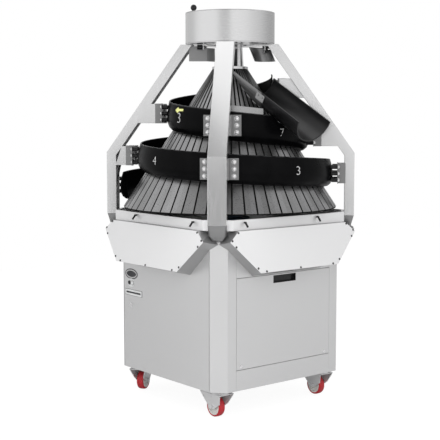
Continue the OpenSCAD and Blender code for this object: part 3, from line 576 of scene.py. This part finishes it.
def coverScrews():
    size = screwSizes
    lean = math.radians(size["lean"])
    model = turned("coverScrew", size["outline"], size["sides"])
    screws = []
    for points in looseBodies("cover_screws"):
        centre = sum(points, Vector()) / len(points)
        onSide = abs(centre.x) > abs(centre.y)
        level = Vector((centre.x, 0, 0)) if onSide else Vector((0, centre.y, 0))
        outwards = level.normalized() * math.cos(lean) + Vector((0, 0, math.sin(lean)))
        seat = min(point.dot(outwards) for point in points)
        screws.append(copyAt(model, centre + outwards * (seat - centre.dot(outwards)), outwards))
    discard(model)
    piece = paint(joined(screws, "coverScrews"), "screwDark")
    return standIn(smoothed(piece, size["smooth"]), "cover_screws")


coverScrews()
print("bolts and screws placed")

# wheels

wheelSizes = {  # (radius, height) along one half of the tyre and the hub, the middle at 0
    "tyre": [(24, -8), (35.5, -7.8), (35.5, -14.4), (36.9, -15.6), (38.6, -16), (40.8, -14.6),
             (42.2, -11.8), (43, -7)],
    "hub": [(5.4, -18), (11, -18), (12.4, -16.6), (13.4, -11), (25.6, -11), (27.6, -14.8),
            (33.1, -15.6), (34.7, -15.1), (35.7, -14.2)],
    "tyreSides": 64, "hubSides": 48, "smooth": 38,
}


def bothSides(side):  # an outline with its mirror image
    return side + [(radius, -height) for radius, height in reversed(side)]


def axleOf(node):  # the axle lies where the wheel is thinnest
    points = [vert.co for vert in frame["nodes"][node].data.vertices]
    spreads = []
    for degree in range(180):
        along = [point.dot(levelWay(degree)) for point in points]
        spreads.append((max(along) - min(along), degree))
    return levelWay(min(spreads)[1])


def casterWheel(node):
    size = wheelSizes
    low, high = (Vector(corner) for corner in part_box(node))
    tyre = turned("tyre", bothSides(size["tyre"]), size["tyreSides"])
    hub = turned("hub", bothSides(size["hub"]), size["hubSides"])
    for part, finish in ((tyre, "tyreRed"), (hub, "hubIvory")):
        paint(moved(part, (low + high) / 2, axleOf(node)), finish)
    return standIn(smoothed(joined([tyre, hub], node + "Turned"), size["smooth"]), node)


for node in ("wheel_front_left", "wheel_front_right", "wheel_back_left", "wheel_back_right"):
    casterWheel(node)
print("wheels turned")

# plates on the left panel: middle and size along Y and Z, then (inset, rise) of each rim and field

panelSide = -358
plateSmooth = 30
plateSizes = {
    "badge": {"middle": (245, 541), "size": (94, 46), "thick": 1,
              "steps": [(0.8, 0.3), (2.4, 0), (0.6, -0.35), (5.5, 0), (0.5, -0.2)]},
    "control": {"middle": (245, 502), "size": (54, 37), "thick": 2,
                "steps": [(0.8, 0.5), (2, 0), (0.5, -0.3)]},
    "label": {"middle": (229, 458.5), "size": (128, 27), "thick": 1,
              "steps": [(1.2, 0.2), (0.5, 0), (8, 0)]},
}
collarSizes = {"pitch": 23, "sides": 32,
               "outline": [(11, 0), (11, 1.6), (10.2, 2.4), (8.6, 2.4), (8.4, 1)]}


def wallPlate(name, oval):  # lies against the panel, facing -X
    size = plateSizes[name]
    (y, z), (width, height), thick = size["middle"], size["size"], size["thick"]
    middle = Vector((panelSide - thick / 2, y, z)) * mm
    pickNone()
    if oval:
        bpy.ops.mesh.primitive_cylinder_add(vertices=48, radius=0.5, depth=1, location=middle,
                                            rotation=(0, -math.pi / 2, 0),
                                            scale=(height * mm, width * mm, thick * mm))
    else:
        bpy.ops.mesh.primitive_cube_add(size=1, location=middle,
                                        scale=(thick * mm, width * mm, height * mm))
    piece = settle(bpy.context.object)
    pickFaces(piece, lambda place, normal: normal.x < -0.99)
    for inset, rise in size["steps"]:
        bpy.ops.mesh.inset(thickness=inset * mm, depth=rise * mm)
    leaveEdit()
    return named(piece, name)


def paintFields(piece, name, pale):  # pale tells a field from its place, 1 at the plate's edge
    size = plateSizes[name]
    (y, z), (width, height) = size["middle"], size["size"]
    for face in piece.data.polygons:
        across = abs(face.center.y / mm - y) / (width / 2)
        up = abs(face.center.z / mm - z) / (height / 2)
        face.material_index = 1 if face.normal.x < -0.9 and pale(across, up) else 0


def blankPlates():
    badge = paint(wallPlate("badge", True), "labelDark", "markPale")
    paintFields(badge, "badge", lambda across, up: 0.7 < math.hypot(across, up) < 0.9)
    label = paint(wallPlate("label", False), "labelDark", "plateWhite")
    paintFields(label, "label", lambda across, up: up <= 0.95 and across <= 0.99
                and (up >= 0.3 or across >= 0.85))
    piece = joined([badge, label], "blankPlates")
    return standIn(smoothed(piece, plateSmooth), "label_plates")


def controlPlate():
    size = collarSizes
    y, z = plateSizes["control"]["middle"]
    pieces = [paint(wallPlate("control", True), "plateWhite")]
    for side in (-0.5, 0.5):
        place = Vector((panelSide - plateSizes["control"]["thick"], y + side * size["pitch"], z))
        collar = moved(turned("collar", size["outline"], size["sides"]), place * mm, (-1, 0, 0))
        pieces.append(paint(collar, "zincPlate"))
    return standIn(smoothed(joined(pieces, "controlFace"), plateSmooth), "control_plate")


blankPlates()
controlPlate()
print("plates laid")

# quarter-turn fasteners at the door's lower corners

fastenerSizes = {"places": [(-236, -358, 219), (234, -358, 216)], "sides": 24, "smooth": 30,
                 "outline": [(7.5, 0), (7.5, 1), (6.5, 2.2), (4.5, 2.6), (4.3, 1.2), (1.2, 1)]}


def cornerFasteners():
    size = fastenerSizes
    pieces = [moved(turned("fastener", size["outline"], size["sides"]), Vector(place) * mm,
                    (0, -1, 0)) for place in size["places"]]
    piece = paint(joined(pieces, "doorFasteners"), "boltSteel")
    return addTo(smoothed(piece, size["smooth"]), "door")


cornerFasteners()
print("fasteners placed")

# marks on the track: character, degrees round the axis, height, size in mm, the piece it is on

trackMarks = [("3", -177.4, 1220, 46, "track_4"), ("7", -88.2, 1160, 36, "track_4"),
              ("4", -178.7, 1045, 38, "track_2"), ("3", -89.9, 1007, 38, "track_2")]
arrowMark = {"angle": -178.2, "z": 1255, "length": 60, "height": 23, "node": "track_4",
             "headFrom": -0.2, "headWide": 1.7, "stemWide": 0.42}
markLook = {"letter": 1.35, "thick": 1, "thinner": 0.8, "curve": 5, "sunk": 0.15, "proud": 0.9}
wallRadius = {"track_2": 400, "track_4": 300}  # roughly, where the marks are


def trackSkin(node):
    mesh = frame["nodes"][node].data
    return BVHTree.FromPolygons([vert.co for vert in mesh.vertices],
                                [face.vertices[:] for face in mesh.polygons])


skins = {node: trackSkin(node) for node in wallRadius}


def onWall(node, angle, sideways, height, proud):  # a point on the wall's outer face, in mm
    start = around(angle + math.degrees(sideways / wallRadius[node]), 700, height)
    inwards = Vector((-start.x, -start.y, 0)).normalized()
    hit = skins[node].ray_cast(start, inwards)[0]
    return hit - inwards * proud * mm


def wrapMark(piece, node, angle, height):
    for vert in piece.data.vertices:
        proud = markLook["sunk"] if vert.co.z < 0 else markLook["proud"]
        vert.co = onWall(node, angle, vert.co.x / mm, height + vert.co.y / mm, proud)
    return piece


def numeral(character, angle, height, size, node):
    pickNone()
    bpy.ops.object.text_add(location=(0, 0, 0))
    text = bpy.context.object.data
    text.body = character
    text.size = size * markLook["letter"] * mm
    text.align_x = "CENTER"
    text.align_y = "CENTER"
    text.extrude = markLook["thick"] * mm
    text.offset = -markLook["thinner"] * mm
    text.resolution_u = markLook["curve"]
    bpy.ops.object.convert(target="MESH")
    return wrapMark(settle(bpy.context.object), node, angle, height)


def flowArrow():
    size = arrowMark
    thick = markLook["thick"]
    pickNone()
    bpy.ops.mesh.primitive_grid_add(x_subdivisions=8, y_subdivisions=2, size=1)
    arrow = settle(bpy.context.object)
    for vert in arrow.data.vertices:  # x and y go from -1 to 1, and the head is at the left
        x, y = vert.co.x * 2, vert.co.y * 2
        wide = (1 + x) * size["headWide"] if x < size["headFrom"] else size["stemWide"]
        vert.co = Vector((x * size["length"], y * min(wide, 1) * size["height"], thick)) / 2 * mm
    pickFaces(arrow, lambda place, normal: True)
    extruded(0, 0, -thick)
    bpy.ops.mesh.select_all(action="SELECT")
    bpy.ops.mesh.remove_doubles(threshold=onePoint)
    bpy.ops.mesh.normals_make_consistent(inside=False)
    leaveEdit()
    return wrapMark(arrow, size["node"], size["angle"], size["z"])


numbers = joined([numeral(*mark) for mark in trackMarks], "trackNumbers")
addTo(paint(numbers, "markPale"), "track_4")
addTo(paint(joined([flowArrow()], "flowArrow"), "arrowYellow"), "track_4")
print("track marks wrapped")

# rounded upper rim of the track, which stops where the chute passes

trackSizes = {"start": 924, "climb": 27.5, "growth": 1.53, "half": 60, "bulge": 37, "wall": 6,
              "end": 9.97, "slope": 0.6563, "gap": 2, "dough": 135, "thinFrom": 6, "thinBy": 0.15}
chuteSizes = {"radius": 90, "wall": 6, "x": 40, "out": 488, "z": 1205.7, "slope": 28.1,
              "length": 385}
rimSizes = {"radius": 3.1, "sunk": 1.6, "bulge": 0.68, "steps": 400, "short": 0.01, "fewest": 4,
            "smooth": 50}


def trackPoint(turns, out, up):  # on the track's section after this many quarter turns
    size = trackSizes
    middle = size["start"] + size["climb"] * turns + size["growth"] * turns * turns
    coneWide = coneSizes["top"] + (coneSizes["high"] - middle + size["half"]) * size["slope"]
    fullness = 1 - size["thinBy"] * max(0, turns - size["thinFrom"])
    return around(size["dough"] - 90 * turns, coneWide + size["gap"] + out * fullness, middle + up)


def insideChute(point):
    size = chuteSizes
    lean = math.radians(-size["slope"])
    x, y, z = point.x / mm - size["x"], point.y / mm + size["out"], point.z / mm - size["z"]
    along = y * math.cos(lean) - z * math.sin(lean)
    above = y * math.sin(lean) + z * math.cos(lean)
    return 0 < along < size["length"] and math.hypot(x, above) < size["radius"] + size["wall"]


def roundedRim(points):
    curve = bpy.data.curves.new("rim", "CURVE")
    curve.dimensions = "3D"
    curve.bevel_depth = rimSizes["radius"] * mm
    curve.bevel_resolution = 2
    curve.use_fill_caps = True
    spline = curve.splines.new("POLY")
    spline.points.add(len(points) - 1)
    for knot, point in zip(spline.points, points):
        knot.co = (point.x, point.y, point.z, 1)
    piece = bpy.data.objects.new("rim", curve)
    bpy.context.collection.objects.link(piece)
    pickOnly(piece)
    bpy.ops.object.convert(target="MESH")
    return smoothed(settle(bpy.context.object), rimSizes["smooth"])


def trackRims():
    size, rim = trackSizes, rimSizes
    out = rim["bulge"] * size["bulge"] - size["wall"] / 2
    runs = [[]]
    for step in range(rim["steps"] + 1):
        turns = rim["short"] + (size["end"] - 2 * rim["short"]) * step / rim["steps"]
        point = trackPoint(turns, out, size["half"] - rim["sunk"])
        if not insideChute(point):
            runs[-1].append(point)
        elif runs[-1]:
            runs.append([])
    rims = [roundedRim(run) for run in runs if len(run) >= rim["fewest"]]
    return addTo(paint(joined(rims, "trackRims"), "rimBlack"), "track_3")


trackRims()
print("rims rounded")

# shield-shaped gussets under the legs

gussetSizes = {"inner": 498.5, "outer": 541, "half": 37.5, "top": 803, "knee": 762,
               "kneeIn": 12, "kneeWide": 0.93, "rounding": 9, "roundedFrom": 486, "smooth": 45,
               # further in, further down and how much narrower, from the knee and from there
               "shoulder": (20, 19, 0.68), "tip": (16, 11, 0.45), "tipThin": 0.8, "tipAt": 447}


def cornerGusset(angle):
    size = gussetSizes
    pickNone()
    bpy.ops.mesh.primitive_cube_add(
        size=1, location=((size["outer"] + size["inner"]) / 2 * mm, 0,
                          (size["top"] + size["knee"]) / 2 * mm),
        scale=((size["outer"] - size["inner"]) * mm, size["half"] * 2 * mm,
               (size["top"] - size["knee"]) * mm))
    piece = settle(bpy.context.object)
    pickFaces(piece, lambda place, normal: normal.z < -0.9)
    bpy.ops.transform.translate(value=(-size["kneeIn"] * mm, 0, 0))
    bpy.ops.transform.resize(value=(1, size["kneeWide"], 1), center_override=(0, 0, 0))
    inwards, down, wide = size["shoulder"]
    extruded(-inwards, 0, -down)
    bpy.ops.transform.resize(value=(1, wide, 1), center_override=(0, 0, 0))
    inwards, down, wide = size["tip"]
    extruded(-inwards, 0, -down)
    bpy.ops.transform.resize(value=(size["tipThin"], wide, 1),
                             center_override=(size["tipAt"] * mm, 0, 0))
    leaveEdit()
    pickEdges(piece, lambda a, b: min(a.x, b.x) > size["roundedFrom"] and a.y * b.y > 0
              and abs(a.z - b.z) > 4)
    bpy.ops.mesh.bevel(offset=size["rounding"] * mm, segments=4, affect="EDGES")
    leaveEdit()
    piece.rotation_euler = (0, 0, math.radians(angle))
    return settle(piece)


def cornerGussets():
    piece = joined([cornerGusset(angle) for angle in (45, 135, 225, 315)], "shieldGussets")
    return standIn(smoothed(paint(piece, "guideSteel"), gussetSizes["smooth"]), "corner_gussets")


cornerGussets()
print("gussets shaped")

# pieces that keep their CAD shape: finish, edge rounding in mm (0 leaves the edges)

dressings = {
    "base_plate": ("zincPlate", 0.8), "corner_posts": ("panelSteel", 0.7),
    "cabinet_panels": ("panelSteel", 0.6), "front_rails": ("panelSteel", 0.6),
    "door": ("panelSteel", 1.0), "door_pull": ("knobBlack", 0.6), "deck": ("rimSteel", 1.2),
    "leg_front_left": ("legSteel", 1.4), "leg_front_right": ("legSteel", 1.4),
    "leg_back_left": ("legSteel", 1.4), "leg_back_right": ("legSteel", 1.4),
    # the skirt boxes take the darker steel, painted shade under the skirt covers
    "skirt_boxes": ("boxSteelPaintedShade", 0), "skirt_covers": ("skirtSteel", 1.0),
    "rim_catches": ("knobBlack", 0.8), "track_1": ("trackBlack", 0), "track_2": ("trackBlack", 0),
    "track_3": ("trackBlack", 0), "track_4": ("trackBlack", 0), "track_5": ("trackBlack", 0),
    "track_brackets": ("bracketSteel", 0.6), "chute": ("chuteBlack", 1.0),
    "chute_guide": ("guideSteel", 0.4), "chute_fittings": ("bandSteel", 0.5),
    "top_ring": ("drumSteel", 0.6), "flour_drum": ("drumSteel", 0.5),
    "drum_lid": ("drumSteel", 0.5), "lid_knob": ("knobBlack", 0.6),
    "left_deflector": ("guideSteel", 0.4), "right_deflector": ("guideSteel", 0.4),
    "left_clamp_knob": ("knobBlack", 0.8), "right_clamp_knob": ("knobBlack", 0.8),
    "agitator": ("boltSteel", 0.6), "cone_cap": ("drumSteel", 1.0),
    "main_shaft": ("boltSteel", 0.8), "bearing_housing": ("drivePaint", 1.5),
    "gearbox_housing": ("drivePaint", 3.0), "worm_wheel": ("bronzeGear", 0.4),
    "worm_shaft": ("boltSteel", 0.5), "motor": ("drivePaint", 0.8),
    "start_button": ("plateWhite", 0.8), "stop_button": ("knobBlack", 0.8),
    "cam_lock": ("boltSteel", 0.6), "cable_gland": ("knobBlack", 0.8),
    "caster_plates": ("zincPlate", 0.6), "fork_front_left": ("forkZinc", 0.8),
    "fork_front_right": ("forkZinc", 0.8), "fork_back_left": ("forkZinc", 0.8),
    "fork_back_right": ("forkZinc", 0.8), "brake_front_right": ("knobBlack", 0.8),
    "brake_back_left": ("knobBlack", 0.8),
}


def cleanCopy(node, rounding, angle=35):
    pickOnly(frame["nodes"][node])
    bpy.ops.object.duplicate(linked=False)
    piece = bpy.context.object
    for key in list(piece.keys()):
        if key.startswith("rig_"):  # the copy isn't a CAD node
            del piece[key]
    piece.parent = None
    piece.matrix_world = Matrix.Identity(4)
    piece.name = node + "Dressed"
    bpy.ops.object.mode_set(mode="EDIT")
    bpy.ops.mesh.select_all(action="SELECT")
    bpy.ops.mesh.remove_doubles(threshold=onePoint)
    bpy.ops.mesh.dissolve_limited(angle_limit=math.radians(1.0))
    leaveEdit()
    if rounding:
        return flattened(smoothed(bevelled(piece, rounding, angle), angle))
    return smoothed(piece, angle)


for node, (finish, rounding) in dressings.items():
    standIn(paint(cleanCopy(node, rounding), finish), node)
print("CAD nodes dressed")

# studio

studio = {
    "camera": (-2.9337, -3.5436, 1.2146), "azimuth": -39.08, "down": 5.46, "focal": 85.81,
    "floor": 0.7, "floorSize": 12, "floorAt": (1.9, -2.0, 0), "floorGlow": 1.16,
    "floorSeen": 0.8, "floorMirrored": 0.15,
}

bpy.ops.object.camera_add(location=studio["camera"],
                          rotation=(math.radians(90 - studio["down"]), 0,
                                    math.radians(studio["azimuth"])))
camera = bpy.context.object
camera.data.lens = studio["focal"]
camera.data.sensor_width = 36
camera.data.clip_end = 60
bpy.context.scene.camera = camera

pickNone()
bpy.ops.mesh.primitive_plane_add(size=studio["floorSize"], location=studio["floorAt"])
floor = bpy.context.object
floor.name = "studioFloor"
floorFinish = Finish("floorPale")
lit = floorFinish.add("ShaderNodeBsdfPrincipled", {},
                      {"Base Color": grey(studio["floor"]), "Roughness": 0.9})
glow = floorFinish.add("ShaderNodeEmission", {},
                       {"Color": grey(1.0), "Strength": studio["floorGlow"]})
seen = floorFinish.ray("Camera") * studio["floorSeen"]
through = floorFinish.ray("Transmission") * studio["floorSeen"]
mirrored = floorFinish.ray("Glossy") * studio["floorMirrored"]
floorFinish.close("ShaderNodeOutputMaterial",
                  floorFinish.add("ShaderNodeMixShader", {},
                                  {0: seen + through + mirrored, 1: lit, 2: glow}))
floor.data.materials.append(floorFinish.material)

lamps = {
    "keyLamp": {"place": (3.7, -3.3, 2.2), "target": (0, 0, 1), "size": (2.4, 4.4),
                "power": 46, "unseenBy": ["glossy"]},
    "frontLamp": {"place": (-1.3, -1.45, 1.3), "target": (-0.2, -0.2, 0.6), "size": (1.3, 1.3),
                  "power": 19, "unseenBy": ["glossy", "camera"]},
    "topLamp": {"place": (0, 0, 4.6), "target": (0, 0, 1), "size": (2.9, 2.9),
                "power": 17, "unseenBy": []},
}


def softLamp(name):
    settings = lamps[name]
    place, target = Vector(settings["place"]), Vector(settings["target"])
    pickNone()
    bpy.ops.object.light_add(type="AREA", location=place)
    lamp = bpy.context.object
    lamp.name = name
    lamp.data.shape = "RECTANGLE"
    lamp.data.size, lamp.data.size_y = settings["size"]
    lamp.data.energy = settings["power"]
    lamp.rotation_euler = (target - place).to_track_quat("-Z", "Y").to_euler()
    for ray in settings["unseenBy"]:
        setattr(lamp, "visible_" + ray, False)


for name in lamps:
    softLamp(name)

# what the steels mirror: a ring of light, a dimmer sky towards the camera, two dark gaps near it

skyLook = {
    "level": 0.93,
    # brightness by compass degrees from +X; the camera stands at 230
    "ring": [(0, 0.5), (20, 0.5), (50, 0.72), (110, 0.75), (124, 0.8), (130, 0.95), (150, 1.12),
             (190, 1.12), (240, 1.14), (270, 1.08), (296, 0.88), (312, 0.8), (340, 0.55),
             (360, 0.5)],
    "overFrom": 0.45, "overSoft": 4, "front": (-0.643, -0.766), "frontFrom": 0.1, "frontSoft": 4,
    "dimmer": 0.75,
    "highGap": {"at": 216, "half": 10, "soft": 10, "from": 0.06, "edge": 40, "share": 0.46},
    "lowGap": {"at": 219.5, "half": 4, "soft": 5, "from": 0, "edge": -30, "share": 0.85},
}

world = bpy.data.worlds.new("studioWorld")
bpy.context.scene.world = world
world.use_nodes = True
sky = Nodes(world.node_tree)
skyX, skyY, skyZ = sky.axes(sky.add("ShaderNodeTexCoord", output="Generated"))
turn = skyY.turn(skyX)
compass = turn + turn.below(0)


def rising(value, start, gain):  # 0 up to the start, then up to 1
    return ((value - start) * gain).least(0).most(1)


def darkGap(gap):  # 1 inside this stretch of the compass, with soft ends
    away = (compass - gap["at"] / 360).size() * 360
    return 1 - ((away - gap["half"]) / gap["soft"]).least(0).most(1)


ring = sky.ramp(compass, [(degrees / 360, grey(light)) for degrees, light in skyLook["ring"]])
over = rising(skyZ, skyLook["overFrom"], skyLook["overSoft"])
forwards = skyX * skyLook["front"][0] + skyY * skyLook["front"][1]
front = rising(forwards, skyLook["frontFrom"], skyLook["frontSoft"])
high, low = skyLook["highGap"], skyLook["lowGap"]
highGap = darkGap(high) * rising(skyZ, high["from"], high["edge"]) * (1 - over) * high["share"]
lowGap = darkGap(low) * rising(skyZ, low["from"], low["edge"]) * low["share"]
level = ring * skyLook["level"] * (1 - over * front * skyLook["dimmer"]) * (1 - highGap - lowGap)
bare = sky.ray("Camera") + sky.ray("Transmission")
sky.close("ShaderNodeOutputWorld",
          sky.add("ShaderNodeBackground", {},
                  {"Color": grey(1.0), "Strength": level * (1 - bare) + bare}))

bpy.context.scene.view_settings.view_transform = "Standard"
print("studio ready")
